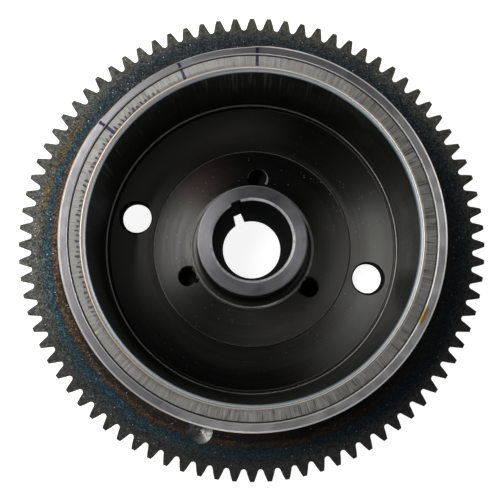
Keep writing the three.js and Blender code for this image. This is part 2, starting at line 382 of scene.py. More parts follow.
# The ring gear's colours from its seat outwards to the middle of its teeth, first where heat tinted it and
# then elsewhere.
GEAR_TINTS = [
    (0.0, (0.1, 0.035, 0.014)),
    (0.15, (0.03, 0.016, 0.01)),
    (0.29, (0.016, 0.012, 0.009)),
    (0.38, (0.11, 0.06, 0.024)),
    (0.48, (0.042, 0.034, 0.026)),
    (0.61, (0.01, 0.06, 0.092)),
    (0.75, (0.034, 0.062, 0.067)),
    (0.9, (0.095, 0.095, 0.086)),
]
GEAR_PLAIN = [
    (0.0, (0.08, 0.032, 0.016)),
    (0.12, (0.022, 0.02, 0.018)),
    (0.5, (0.04, 0.04, 0.04)),
    (0.7, (0.026, 0.042, 0.052)),
    (0.85, (0.06, 0.068, 0.068)),
    (1.0, (0.12, 0.115, 0.1)),
]


def black_turned():
    """Black-oxidised turned steel: the web's floor and back, and the skirt."""
    g = Graph("black_turned_steel")
    lines = g.turning(5.0)
    wide = g.turning(0.6, 0.5)
    g.base(lines, (0.055, 0.055, 0.052), (0.085, 0.085, 0.08), 0.3, 0.75)
    g.paint(g.level(wide, 0.35, 0.7, 0, 0.35), (0.034, 0.035, 0.036))
    g.paint(g.level(g.cloud(0.05), 0.5, 0.75, 0, 0.4), (0.045, 0.036, 0.03))
    warm = g.times(g.sector(122, 14, 14), g.band(g.r, 42, 54, 6))
    g.coat(warm, 0.3, (0.06, 0.035, 0.028))
    ring = g.band(g.r, FLOOR_GROOVE_R - 0.4, FLOOR_GROOVE_R, 0.08)
    g.coat(ring, 0.9, (0.56, 0.54, 0.51))
    inside_groove = g.level(g.r, FLOOR_GROOVE_R - 0.1, FLOOR_GROOVE_R - 0.5)
    near_wall = g.times(g.level(g.r, 41, 51), inside_groove)
    # Painted light on the outer floor near the wall: lighter on the right side, and pale on the upper left
    # and left.
    painted_light_right = g.times(g.sector(345, 44, 24), near_wall)
    g.coat(painted_light_right, 0.6, (0.15, 0.15, 0.145))
    painted_light_left = g.times(g.sector(145, 56, 24), near_wall)
    g.coat(painted_light_left, 0.55, (0.4, 0.38, 0.36))
    shaded = g.times(g.sector(48, 18, 18), g.level(g.r, 40.5, 43))
    shaded = g.most(shaded, g.times(g.sector(262, 24, 18), g.level(g.r, 46, 53)))
    g.coat(g.times(shaded, inside_groove), 0.65, (0.008, 0.008, 0.008))
    dust = g.specks(0.8, 0.26, 0.16)
    g.coat(dust, 0.7, (0.26, 0.25, 0.22))
    rough = g.math("ADD", g.level(lines, 0.25, 0.8, 0.32, 0.4), g.times(dust, 0.2))
    normal = g.bump(wide, 0.01, g.bump(lines, 0.005))
    return g.done(rough, normal, metallic=0.95, anisotropy=0.84)


def boss_black():
    """The boss's dark flange and nose side, turned, with painted shade on the flange's top side and painted
    light on its lower right side.
    """
    g = Graph("boss_dark_steel")
    lines = g.turning(4.5)
    wide = g.turning(0.5, 0.6)
    g.base(lines, (0.046, 0.046, 0.044), (0.07, 0.07, 0.066), 0.3, 0.75)
    g.paint(g.level(g.cloud(0.09), 0.45, 0.7, 0, 0.35), (0.05, 0.047, 0.055))
    stains = g.math("ADD", g.sector(124, 10, 16), g.sector(303, 9, 14), clamp=True)
    stains = g.times(stains, g.band(g.r, 29, 40, 5))
    g.coat(stains, 0.35, (0.1, 0.05, 0.045))
    flange = g.band(g.r, 24, 42, 3)
    # Painted shade on the top side of the flange, and painted light on its lower right side.
    painted_shade_top = g.times(g.sector(68, 36, 22), flange)
    g.coat(painted_shade_top, 0.8, (0.012, 0.012, 0.012))
    painted_light_below_right = g.times(g.sector(318, 58, 26), flange)
    g.coat(painted_light_below_right, 0.85, (0.16, 0.157, 0.15))
    dust = g.specks(0.75, 0.26, 0.2)
    g.coat(dust, 0.7, (0.3, 0.29, 0.25))
    rough = g.math("ADD", g.level(wide, 0.3, 0.7, 0.32, 0.4), g.times(dust, 0.2))
    normal = g.bump(wide, 0.008, g.bump(lines, 0.005))
    return g.done(rough, normal, metallic=0.95, anisotropy=0.72)


def ground_grey(name, tint, anisotropy, ink=False):
    """A faced grey ring, the boss's nose or the rim, with faint circular marks and fine pits."""
    g = Graph(name)
    lines = g.turning(5.0, 2.0)
    cloud = g.cloud(0.22)
    light = tuple(c * 1.15 for c in tint)
    dark = tuple(c * 0.85 for c in tint)
    g.base(lines, dark, light)
    g.paint(g.level(cloud, 0.4, 0.7, 0, 0.4), dark)
    pits = g.specks(0.9, 0.24, 0.12)
    g.coat(pits, 0.35, (0.5, 0.5, 0.52))
    rough = g.level(cloud, 0.3, 0.7, 0.34, 0.44)
    if ink:
        rough = rim_painted_light_and_stains(g, rough)
    else:
        # Painted shade on the top side of the nose face.
        g.coat(g.sector(80, 26, 24), 0.6, (0.07, 0.07, 0.078))
    return g.done(rough, g.bump(lines, 0.006), anisotropy=anisotropy)


def worn_edge_and_painted_light():
    """Edges of the boss worn bright: the nose, the bore's mouth, the foot line and the flange's rim, with
    painted shade on the bottom of the foot line and the flange's rim, and painted highlights on the flange's
    rim at the left and on the foot line at the lower right.
    """
    g = Graph("boss_edge_steel")
    lines = g.turning(6.0, 2.0)
    wear = g.cloud(0.5)
    g.base(lines, (0.36, 0.355, 0.35), (0.5, 0.495, 0.485))
    mouth = g.level(g.r, BORE_MOUTH_R + 2, BORE_MOUTH_R + 1.2)
    g.paint(mouth, (0.8, 0.79, 0.78))
    g.paint(g.level(wear, 0.45, 0.7, 0, 0.4), (0.2, 0.198, 0.19))
    # Painted shade on the bottom side of the foot line and the flange's rim.
    dull = g.times(g.sector(256, 46, 24), g.level(g.r, BOSS_R, BOSS_R + 1))
    g.coat(dull, 0.7, (0.12, 0.12, 0.115))
    # Painted highlights on the flange's rim at the left side and on the foot line at the lower right side.
    painted_highlight_left = g.times(g.sector(180, 34, 14), g.level(g.r, 37, 38))
    foot = g.times(g.sector(332, 48, 16), g.band(g.r, 21.5, 27, 0.5))
    g.paint(g.most(painted_highlight_left, foot), (0.97, 0.965, 0.95))
    return g.done(g.level(wear, 0.3, 0.7, 0.45, 0.58), g.bump(lines, 0.004), metallic=0.8)


def rim_painted_light_and_stains(g, rough):
    """Paints shade on the rim's left and top sides and a highlight on its right side, a stain and the pen
    strokes, and gives its roughness.
    """
    # Painted shade on the left and lower left, painted highlight on the right and lower right, and painted
    # shade at the top.
    dull = g.most(g.sector(188, 36, 22), g.times(g.sector(228, 16, 14), 0.7))
    g.coat(dull, 0.62, (0.06, 0.058, 0.06))
    bright = g.most(g.sector(352, 34, 24), g.times(g.sector(290, 34, 20), 0.7))
    g.coat(bright, 0.75, (0.8, 0.79, 0.8))
    g.coat(g.sector(75, 22, 14), 0.4, (0.12, 0.12, 0.125))
    amber_stain(g)
    marks = pen_marks(g)
    g.paint(marks, (0.03, 0.022, 0.075))
    return g.most(rough, g.times(marks, 0.55))


def amber_stain(g):
    """Paints the small stain on the rim's inner edge."""
    stain = g.times(g.sector(334.5, 1.8, 2), g.level(g.cloud(0.5), 0.3, 0.52))
    stain = g.times(stain, g.level(g.r, 67.4, 66.4))
    g.coat(stain, 0.9, (0.42, 0.25, 0.04))


def pen_marks(g):
    marks = 0.0
    for angle, width in zip(MARK_ANGLES, (1.2, 1.1, 1.2)):
        marks = g.most(g.stroke(angle, width), marks)
    worn = g.level(g.cloud(1.6), 0.25, 0.5, 0.65, 1.0)
    return g.times(marks, worn)


def cut_edge_and_painted_light():
    """Bare, freshly cut steel on the rim's chamfers, with painted highlights on the outer chamfer at the left
    and top and painted shade at its bottom.
    """
    g = Graph("cut_edge_steel")
    lines = g.turning(6.0, 3.0)
    g.base(lines, (0.5, 0.495, 0.485), (0.68, 0.67, 0.655))
    outer = g.level(g.r, 66.5, 67.5)
    # Painted highlight on the outer chamfer at the left and top sides.
    bright = g.most(g.sector(181, 30, 12), g.sector(84, 20, 10))
    g.paint(g.times(bright, outer), (0.96, 0.93, 0.9))
    # Painted shade on the outer chamfer at the bottom side.
    dull = g.times(g.sector(262, 26, 16), outer)
    g.coat(dull, 0.6, (0.3, 0.295, 0.29))
    warm = g.times(g.level(g.cloud(0.08, 2), 0.45, 0.65), outer)
    g.coat(warm, 0.4, (0.5, 0.36, 0.27))
    rust = g.times(g.level(g.z, RIM_Z - 0.6, RIM_Z - 0.8), g.level(g.r, 67, 68))
    g.coat(rust, 0.75, (0.34, 0.13, 0.05))
    amber_stain(g)
    return g.done(g.level(lines, 0.3, 0.7, 0.4, 0.52), g.bump(lines, 0.004))


def gear_tint_and_painted_shade():
    """Oxidised steel with heat-tint bands round the skirt, a grain of pale crystals, greyer teeth, and
    painted shade on the lower side.
    """
    g = Graph("gear_heat_tint")
    shifted = g.r
    wanders = [(g.cloud(0.06, 3, 0.6), 4.0), (g.cloud(0.4, 3, 0.6), 2.5), (g.turning(0.3, 2.5), 6.0)]
    for wander, amount in wanders:
        shifted = g.math("ADD", shifted, g.times(g.math("SUBTRACT", wander, 0.5), amount))
    outward = g.level(shifted, 68.5, 88.5)
    tints = g.ramp(outward, GEAR_TINTS)
    plain = g.ramp(outward, GEAR_PLAIN)
    tinted = g.most(g.sector(195, 48, 26), g.times(g.sector(262, 40, 30), 0.9))
    g.colour = g.mix(tinted, plain, tints)
    patches = g.cloud(0.3)
    gold = g.times(g.sector(160, 13, 9), g.band(g.r, 81.6, 84.6, 1.2))
    gold = g.times(gold, g.level(patches, 0.35, 0.5))
    g.coat(gold, 0.85, (0.12, 0.088, 0.034))
    rust = g.times(g.band(g.r, 76, 78.4, 0.8), g.sector(156, 26, 14))
    rust = g.times(rust, g.level(patches, 0.4, 0.58))
    rust = g.most(rust, g.times(g.band(g.r, 68, 69.7, 0.5), 0.7))
    g.coat(rust, 0.5, (0.15, 0.06, 0.028))
    # Painted shade on the lower right side of the gear and, more faintly, on the lower left, with darker
    # teeth at the lower left.
    painted_shade_below = g.most(g.sector(305, 62, 34), g.times(g.sector(235, 20, 24), 0.45))
    g.coat(painted_shade_below, 0.72, (0.3, 0.3, 0.33), "MULTIPLY")
    painted_shade_teeth = g.times(g.sector(238, 34, 20), g.level(g.r, 81, 84))
    g.coat(painted_shade_teeth, 0.6, (0.4, 0.42, 0.42), "MULTIPLY")
    grain = g.cloud(1.7, 3, 0.7)
    coarse = g.cloud(0.6, 3, 0.6)
    deep = g.times(g.level(grain, 0.53, 0.39), g.level(g.r, 82, 87, 0.9, 0.55))
    g.paint(deep, (0.006, 0.007, 0.008))
    g.paint(g.level(coarse, 0.52, 0.35, 0, 0.6), (0.01, 0.011, 0.012))
    pale = g.times(g.level(grain, 0.57, 0.72), g.level(painted_shade_below, 0, 1, 0.5, 0.14))
    g.paint(pale, (0.36, 0.37, 0.34))
    crystals = g.times(g.specks(0.85, 0.24, 0.12), g.level(painted_shade_below, 0, 1, 1.0, 0.45))
    g.paint(crystals, (0.55, 0.6, 0.6))
    rough = g.level(grain, 0.3, 0.75, 0.6, 0.4)
    normal = g.bump(coarse, 0.08, g.bump(grain, 0.12))
    return g.done(rough, normal, metallic=0.75, specular=0.4)


def gear_flanks():
    """Milled tooth flanks and gaps: grey steel with marks along the axis and oxide in the roots."""
    g = Graph("gear_flank_steel")
    along = g.join(g.times(g.x, 2.4), g.times(g.y, 2.4), g.times(g.z, 0.25))
    marks = g.noise(along, 1.0, 3, 0.6)
    g.base(marks, (0.07, 0.068, 0.062), (0.19, 0.185, 0.17))
    depth = g.level(g.r, PITCH_R, ROOT_R)
    g.coat(depth, 0.7, (0.035, 0.033, 0.03))
    grease = g.level(g.cloud(0.35), 0.5, 0.7)
    g.coat(grease, 0.5, (0.03, 0.028, 0.024))
    return g.done(g.level(marks, 0.3, 0.7, 0.35, 0.55), g.bump(marks, 0.03), metallic=0.85)


def drilled():
    """The bright cone that the balancing drill left, with cutting rings round its own axis."""
    g = Graph("drilled_steel")
    from_axis = g.vector("LENGTH", g.vector("SUBTRACT", g.join(g.x, g.y, 0.0), (DRILL_X, DRILL_Y, 0)))
    rings = g.noise(g.join(g.times(from_axis, 4.0), g.z, 0.0), 1.0, 2)
    smear = g.cloud(0.7, 3, 0.6)
    g.base(rings, (0.2, 0.195, 0.19), (0.4, 0.39, 0.38))
    g.paint(g.level(smear, 0.42, 0.66, 0, 0.75), (0.08, 0.08, 0.075))
    return g.done(g.level(smear, 0.3, 0.7, 0.35, 0.55), g.bump(rings, 0.03), metallic=0.9)


def liner_flange():
    """Drawn stainless, pulled out into fine radial wrinkles: the liner's flange."""
    g = Graph("liner_flange_steel")
    fine = g.fan(170)
    broad = g.fan(45)
    strong = g.most(g.sector(25, 36, 14), g.times(g.sector(292, 34, 14), 0.75))
    strong = g.most(strong, g.times(g.sector(125, 58, 14), 0.6))
    g.base(g.cloud(0.09, 2), (0.27, 0.268, 0.257), (0.32, 0.315, 0.3), 0.35, 0.65)
    streak = g.math("ADD", g.times(fine, 0.65), g.times(broad, 0.35))
    dark = g.times(g.level(streak, 0.5, 0.38), g.level(strong, 0, 1, 0.35, 0.9))
    g.paint(dark, (0.09, 0.085, 0.075))
    pale = g.times(g.level(streak, 0.54, 0.64), g.level(strong, 0, 1, 0.2, 0.6))
    g.paint(pale, (0.5, 0.49, 0.47))
    # Painted shade on the left and lower left of the flange, and painted light on its top side.
    g.coat(g.sector(205, 42, 24), 0.45, (0.12, 0.12, 0.115))
    g.coat(g.sector(88, 26, 20), 0.35, (0.6, 0.59, 0.57))
    shadow = g.times(g.band(g.r, 60.95, 61.9, 0.3), g.sector(170, 75, 20))
    g.coat(shadow, 0.5, (0.12, 0.115, 0.11))
    g.coat(press_dashes(g), 0.9, (0.045, 0.04, 0.05))
    rim_dirt = g.level(g.r, LINER_EDGE_R - 0.5, LINER_EDGE_R + 0.1)
    g.coat(rim_dirt, 0.5, (0.1, 0.085, 0.07))
    spot = g.vector("LENGTH", g.vector("SUBTRACT", g.place, (*polar(64.3, 212), LINER_TOP_Z)))
    g.paint(g.level(spot, 1.0, 0.2, 0, 0.5), (0.36, 0.4, 0.18))
    marks = g.times(pen_marks(g), g.level(g.r, 60.6, 61.2))
    g.coat(marks, 0.95, (0.035, 0.026, 0.08))
    rough = g.level(streak, 0.35, 0.65, 0.46, 0.56)
    return g.done(rough, g.bump(streak, 0.02))


def press_dashes(g):
    """Short radial dashes that the press left in a row just outside the lip, on the side away from +X."""
    turn = g.math("ARCTAN2", g.times(g.sin, -1.0), g.times(g.cos, -1.0))
    jitter = g.times(g.math("SUBTRACT", g.cloud(0.25, 2), 0.5), 7.0)
    wave = g.math("SINE", g.math("ADD", g.times(turn, 215.0), jitter))
    length = g.level(g.cloud(0.5, 2), 0.3, 0.7, 61.9, 62.9)
    reaching = g.times(g.level(g.r, WRINKLES_R, 61.3), g.math("LESS_THAN", g.r, length))
    gate = g.times(g.sector(DENTS_ANGLE, 44, 14), g.level(g.cloud(0.18, 2), 0.3, 0.42))
    return g.times(g.times(g.level(wave, -0.2, 0.7), reaching), gate)


def liner_wall():
    """The liner's sleeve: drawn stainless, darkened, with faint draw marks down the wall."""
    g = Graph("liner_wall_steel")
    fine = g.fan(110, 0.02)
    broad = g.fan(9, 0.02)
    cloud = g.cloud(0.08)
    g.base(fine, (0.085, 0.086, 0.08), (0.12, 0.12, 0.112), 0.35, 0.65)
    g.paint(g.level(broad, 0.4, 0.6, 0, 0.3), (0.06, 0.065, 0.058))
    drawn = g.times(g.level(g.fan(75, 0.03), 0.54, 0.66), g.level(g.z, 20, 46))
    drawn = g.times(drawn, g.sector(112, 56, 20))
    g.coat(drawn, 0.8, (0.4, 0.4, 0.38))
    dirt = g.times(g.level(g.z, 26, 10), g.level(cloud, 0.35, 0.65))
    g.coat(dirt, 0.4, (0.04, 0.038, 0.032))
    g.paint(g.level(g.z, LINER_FOOT_Z + 8, LINER_FOOT_Z + 5), (0.15, 0.15, 0.138))
    g.paint(g.level(g.z, LINER_FOOT_Z + 4.6, LINER_FOOT_Z + 4.1), (0.008, 0.008, 0.007))
    # Painted light on the left side of the foot's edge line.
    foot = g.mix(g.sector(158, 72, 30), (0.2, 0.197, 0.185), (0.97, 0.95, 0.9))
    foot = g.mix(g.band(g.r, 58.55, 59.1, 0.08), (0.03, 0.03, 0.028), foot)
    g.paint(g.level(g.z, LINER_FOOT_Z + 1.6, LINER_FOOT_Z + 1.4), foot)
    specks = g.times(g.specks(0.8, 0.2, 0.14), g.sector(280, 70, 30))
    g.coat(specks, 0.5, (0.4, 0.4, 0.36))
    rough = g.level(cloud, 0.3, 0.7, 0.36, 0.46)
    return g.done(rough, g.bump(fine, 0.006))


def liner_lip():
    """The polished roll between the liner's sleeve and its flange."""
    g = Graph("liner_lip_steel")
    lines = g.turning(7.0, 4.0)
    fine = g.fan(160)
    g.base(lines, (0.66, 0.62, 0.56), (0.8, 0.76, 0.69))
    # Painted shade, warm, on the left side of the lip.
    g.coat(g.sector(175, 50, 40), 0.75, (0.42, 0.35, 0.28))
    # The inner side of the roll: pale blue-grey, with painted shade on the right side and, more faintly, at
    # the top.
    inner = g.mix(g.sector(341, 60, 40), (0.6, 0.64, 0.66), (0.32, 0.35, 0.37))
    inner = g.mix(g.times(g.sector(92, 24, 24), 0.5), inner, (0.2, 0.21, 0.22))
    g.paint(g.level(g.r, LIP_PARTING_R, 60.0), inner)
    g.paint(g.level(fine, 0.6, 0.75, 0, 0.4), (0.28, 0.27, 0.26))
    parting = g.times(g.band(g.r, 59.98, 60.14, 0.06), g.math("SUBTRACT", 1.0, g.sector(172, 62, 24)))
    g.coat(parting, 0.85, (0.08, 0.08, 0.08))
    # Painted shade on the bottom side of the outer bead.
    dull = g.times(g.sector(272, 68, 20), g.level(g.r, LIP_PARTING_R, 60.2))
    g.coat(dull, 0.6, (0.26, 0.25, 0.23))
    warm = g.level(g.r, 60.75, 60.95)
    g.coat(warm, 0.6, (0.3, 0.19, 0.11))
    return g.done(g.level(lines, 0.3, 0.7, 0.5, 0.6), g.bump(fine, 0.004))


def bore_steel():
    """The taper: fine rings with a few axial score marks, on a near-black colour that paints the shade inside
    the bore, with a light film of oil.
    """
    g = Graph("bore_dark_steel")
    lines = g.turning(6.0, 2.0)
    scores = g.fan(26, 0.03)
    g.base(lines, (0.0025, 0.0025, 0.003), (0.005, 0.005, 0.0055))
    g.paint(g.level(scores, 0.66, 0.74, 0, 0.4), (0.06, 0.06, 0.06))
    rough = g.level(lines, 0.3, 0.7, 0.55, 0.68)
    return g.done(rough, g.bump(lines, 0.006), metallic=0.0, specular=0.13)


def broached():
    """Cut walls of the keyway and the holes: a near-black colour that paints the shade inside them, with
    marks along the tool's travel.
    """
    g = Graph("broached_steel")
    along = g.join(g.times(g.x, 4.0), g.times(g.y, 4.0), g.times(g.z, 0.5))
    marks = g.noise(along, 1.0, 3)
    g.base(marks, (0.006, 0.006, 0.006), (0.018, 0.018, 0.018))
    rough = g.level(marks, 0.3, 0.7, 0.55, 0.68)
    return g.done(rough, g.bump(marks, 0.02), metallic=0.0, specular=0.03)


def ferrite():
    """Sintered ferrite: dull dark grey with a fine grain and grinding lines."""
    g = Graph("ferrite_magnet")
    grain = g.cloud(3.0, 4, 0.7)
    lines = g.noise(g.join(g.x, g.y, g.times(g.z, 8.0)), 0.8, 2)
    g.base(grain, (0.035, 0.036, 0.038), (0.075, 0.075, 0.078), 0.35, 0.65)
    g.paint(g.level(lines, 0.5, 0.7, 0, 0.3), (0.12, 0.12, 0.12))
    return g.done(g.level(grain, 0.3, 0.7, 0.6, 0.8), g.bump(grain, 0.03), metallic=0.15)


def nylon():
    """Black glass-filled nylon: matte, with fibres and a faint flow pattern."""
    g = Graph("cage_nylon")
    flow = g.cloud(0.3, 3, 0.6)
    fibre = g.noise(g.vector("MULTIPLY", g.place, (4.0, 4.0, 0.8)), 1.0, 2)
    g.base(flow, (0.012, 0.012, 0.013), (0.028, 0.027, 0.026), 0.35, 0.65)
    g.paint(g.level(fibre, 0.62, 0.75, 0, 0.3), (0.07, 0.07, 0.068))
    return g.done(g.level(flow, 0.3, 0.7, 0.5, 0.65), g.bump(fibre, 0.015), metallic=0.0)


# ---------- pieces

def hole_cutter(centre, sections, thread=False):
    """A cutter for one hole from (radius, height) sections, lowest first, with an optional thread."""
    heights = [sections[0][1]]
    radii = [sections[0][0]]
    for (r0, z0), (r1, z1) in zip(sections, sections[1:]):
        rows = max(1, round((z1 - z0) / (THREAD_PITCH / 8))) if thread and r0 == r1 else 1
        for k in range(1, rows + 1):
            radii.append(r0 + (r1 - r0) * k / rows)
            heights.append(z0 + (z1 - z0) * k / rows)
    points = []
    for c in range(HOLE_STEPS):
        turn = c / HOLE_STEPS
        for r, z in zip(radii, heights):
            if thread and r == radii[1]:
                phase = (z / THREAD_PITCH - turn) % 1
                r += THREAD_DEPTH * (1 - abs(2 * phase - 1))
            x, y = polar(r, 360 * turn)
            points.append((centre[0] + x, centre[1] + y, z))
    rows = len(radii)
    faces = grid_faces(HOLE_STEPS, rows, True, False)
    faces.append([c * rows for c in reversed(range(HOLE_STEPS))])
    faces.append([c * rows + rows - 1 for c in range(HOLE_STEPS)])
    return new_object("cutter", points, faces)


def web_hole(angle):
    """A cutter for a hole through the web, opened out at both faces."""
    r, low, high = WEB_HOLE_R, WEB_BACK_Z, floor_z(WEB_HOLE_CIRCLE_R)
    flare, beyond = WEB_HOLE_MOUTH_R - r, 1
    wide = r + flare + beyond
    sections = [(wide, low - beyond), (r, low + flare), (r, high - flare), (wide, high + beyond)]
    return hole_cutter(polar(WEB_HOLE_CIRCLE_R, angle), sections)


def tapped_hole(angle, high):
    """A cutter for a blind puller hole, with the drill's cone, a thread and an opened mouth."""
    flare, beyond = PULLER_MOUTH_R - PULLER_R, 1
    sections = [
        (DRILL_TIP_R, high - PULLER_DEPTH - PULLER_POINT),
        (PULLER_R, high - PULLER_DEPTH),
        (PULLER_R, high - flare),
        (PULLER_R + flare + beyond, high + beyond),
    ]
    return hole_cutter(polar(PULLER_CIRCLE_R, angle), sections, thread=True)


def near_hole(x, y, circle_r, angles, reach_r):
    return any(math.dist((x, y), polar(circle_r, a)) < reach_r for a in angles)


def floor_z(r):
    return FLOOR_LOW_Z + (r - FLANGE_R) * (FLOOR_HIGH_Z - FLOOR_LOW_Z) / (LINER_LIP_R - FLANGE_R)


def relieved(r, z, degrees):
    """Cuts the skirt's outside back over the stretch that the ignition pickup reads."""
    into = np.clip((degrees - RELIEF_START + RELIEF_RAMP / 2) / RELIEF_RAMP, 0, 1)
    out = np.clip((RELIEF_END + RELIEF_RAMP / 2 - degrees) / RELIEF_RAMP, 0, 1)
    limit = SKIRT_R + (RELIEF_R - SKIRT_R) * np.minimum(into, out)
    limit = limit - np.clip(z - (RIM_Z - RELIEF_EDGE), 0, RELIEF_EDGE)
    return np.where(z >= RELIEF_LOW_Z, np.minimum(r, limit), r), z


def make_shell():
    gap, groove, ledge, mouth_depth = 0.12, 0.45, 0.08, 3
    outer_chamfer, inner_chamfer = 0.7, 0.42
    profile = rounded([
        (SPIGOT_R + gap, WEB_BACK_Z, 0.3),
        (GEAR_SEAT_R, WEB_BACK_Z, BACK_CORNER_R),
        (GEAR_SEAT_R, GEAR_BACK_Z + 1),
        (GEAR_SEAT_R, GEAR_FRONT_Z),
        (SKIRT_R - 0.15, GEAR_FRONT_Z, 0.1),
        (SKIRT_R, GEAR_FRONT_Z + 0.6, 0.3),
        (SKIRT_R, RELIEF_LOW_Z - ledge),
        (SKIRT_R, RELIEF_LOW_Z),
        (SKIRT_R, (RELIEF_LOW_Z + RIM_Z) / 2),
        (SKIRT_R, RIM_Z - outer_chamfer, 0.12),
        (SKIRT_R - outer_chamfer + RELIEF_EDGE, RIM_Z - RELIEF_EDGE),
        (SKIRT_R - outer_chamfer, RIM_Z, 0.12),
        (RELIEF_R - RELIEF_EDGE - 0.1, RIM_Z),
        (SKIRT_MOUTH_R + 0.62, RIM_Z),
        (SKIRT_MOUTH_R + inner_chamfer, RIM_Z, 0.1),
        (SKIRT_MOUTH_R, RIM_Z - inner_chamfer, 0.1),
        (SKIRT_MOUTH_R, RIM_Z - mouth_depth),
        (SKIRT_BORE_R, RIM_Z - mouth_depth - 0.15),
        (SKIRT_BORE_R, FLOOR_HIGH_Z + 2, 0.4),
        (SKIRT_BORE_R - 2, FLOOR_HIGH_Z, 0.4),
        (LINER_LIP_R + 0.25, FLOOR_HIGH_Z, 0.08),
        (LINER_LIP_R + 0.15, FLOOR_HIGH_Z - groove, 0.1),
        (FLOOR_GROOVE_R + 0.1, FLOOR_HIGH_Z - groove, 0.1),
        (FLOOR_GROOVE_R, FLOOR_HIGH_Z - 0.25, 0.08),
        (FLOOR_GROOVE_R - 0.35, FLOOR_HIGH_Z - 0.02, 0.08),
        *[(r, floor_z(r)) for r in FLOOR_RINGS_R],
        (FLANGE_R + gap + 0.25, floor_z(FLANGE_R), 0.1),
        (FLANGE_R + gap, FLOOR_LOW_Z - 0.25, 0.1),
        (FLANGE_R + gap, FLANGE_STEP_Z - gap),
        (SPIGOT_R + gap, FLANGE_STEP_Z - gap),
    ], arc_step=18)
    shell = new_object("rotor_shell_fine", *lathe(profile, 480, relieved))
    combine(shell, "DIFFERENCE", *[web_hole(a) for a in WEB_HOLE_ANGLES])

    turned, rim, chamfer, hole = range(4)

    def zone(r, z, normal, x, y):
        if near_hole(x, y, WEB_HOLE_CIRCLE_R, WEB_HOLE_ANGLES, WEB_HOLE_MOUTH_R) and abs(normal.z) < 0.9:
            return hole
        if z < RIM_Z - 1:
            return turned
        return rim if normal.z > 0.95 else chamfer

    materials = [
        black_turned(),
        ground_grey("rim_ground_steel", (0.32, 0.314, 0.33), 0.3, ink=True),
        cut_edge_and_painted_light(),
        broached(),
    ]
    finish_piece(shell, "rotor_shell", materials, zone)


def make_boss():
    nose_edge, mouth_edge, back_edge = 0.45, 0.9, 0.6
    profile = rounded([
        (BORE_SMALL_R + back_edge, BOSS_BACK_Z, 0.1),
        (BOSS_BACK_R, BOSS_BACK_Z, 0.5),
        (BOSS_BACK_R, WEB_BACK_Z, 1.0),
        (SPIGOT_R, WEB_BACK_Z, 0.3),
        (SPIGOT_R, FLANGE_STEP_Z),
        (FLANGE_R, FLANGE_STEP_Z),
        (FLANGE_R, FLOOR_LOW_Z + 0.05, 0.1),
        (FLANGE_R - 0.35, FLOOR_LOW_Z + 0.36, 0.1),
        (FOOT_LINE_R + 5, BOSS_FOOT_Z - 5 * FLANGE_SLOPE),
        (FOOT_LINE_R + 0.15, BOSS_FOOT_Z - 0.05, 0.15),
        (FOOT_LINE_R - 0.35, BOSS_FOOT_Z + 0.4, 0.2),
        (FOOT_LINE_R - 0.9, BOSS_FOOT_Z + 0.25, 0.2),
        (BOSS_R, BOSS_FOOT_Z + 0.15, BOSS_FILLET - 1.2),
        (BOSS_R, BOSS_FRONT_Z - nose_edge, 0.15),
        (BOSS_R - nose_edge, BOSS_FRONT_Z, 0.15),
        (BOSS_R - 0.7, BOSS_FRONT_Z),
        (BORE_MOUTH_R + 1.15, BOSS_FRONT_Z),
        (BORE_MOUTH_R + mouth_edge, BOSS_FRONT_Z, 0.12),
        (BORE_MOUTH_R, BOSS_FRONT_Z - mouth_edge, 0.12),
        (BORE_SMALL_R, BOSS_BACK_Z + back_edge, 0.1),
    ], arc_step=10)
    boss = new_object("hub_boss_fine", *lathe(profile, 360))
    flange_z = BOSS_FOOT_Z - (PULLER_CIRCLE_R - BOSS_R - BOSS_FILLET) * FLANGE_SLOPE
    thread_top_z = flange_z - 0.75
    combine(boss, "DIFFERENCE", keyway_cutter(), *[tapped_hole(a, flange_z) for a in PULLER_ANGLES])

    dark, nose, bore, cut, worn = range(5)

    def zone(r, z, normal, x, y):
        c, s = polar(1, KEYWAY_ANGLE)
        in_slot = x * c + y * s > BORE_SMALL_R - 1 and abs(y * c - x * s) <= KEYWAY_WIDTH / 2 + 0.01
        if in_slot and r < KEYWAY_DEPTH + 0.25:
            return cut if r > BORE_SMALL_R + 0.05 and abs(normal.z) < 0.5 else nose
        if near_hole(x, y, PULLER_CIRCLE_R, PULLER_ANGLES, PULLER_MOUTH_R) and abs(normal.z) < 0.95:
            return cut if z < thread_top_z else worn
        if z > BOSS_FRONT_Z - 1 and r > BORE_MOUTH_R - 0.02:
            return nose if normal.z > 0.9 else worn
        if BOSS_FOOT_Z - 1 < z < BOSS_FOOT_Z + 0.5 and FOOT_LINE_R - 0.75 < r < FOOT_LINE_R + 0.2:
            return worn
        if z > FLANGE_STEP_Z and r > FLANGE_R - 0.5:
            return worn
        return bore if r < BORE_MOUTH_R + 0.05 else dark

    materials = [
        boss_black(),
        ground_grey("nose_face_steel", (0.225, 0.222, 0.24), 0.4),
        bore_steel(),
        broached(),
        worn_edge_and_painted_light(),
    ]
    finish_piece(boss, "hub_boss", materials, zone)


def keyway_cutter():
    """A square slot with slightly rounded corners, from the bore to its bottom plane, through the boss."""
    half, corner, inside_bore = KEYWAY_WIDTH / 2, 0.2, 5
    bottom = [(KEYWAY_DEPTH, -half, corner), (KEYWAY_DEPTH, half, corner)]
    section = rounded([(inside_bore, -half), *bottom, (inside_bore, half)], 30)
    c, s = polar(1, KEYWAY_ANGLE)
    count = len(section)
    points = [
        (x * c - y * s, x * s + y * c, z)
        for z in (BOSS_BACK_Z - 1, BOSS_FRONT_Z + 1)
        for x, y in section
    ]
    faces = [(i, (i + 1) % count, (i + 1) % count + count, i + count) for i in range(count)]
    faces.append(list(reversed(range(count))))
    faces.append([count + i for i in range(count)])
    return new_object("cutter", points, faces)


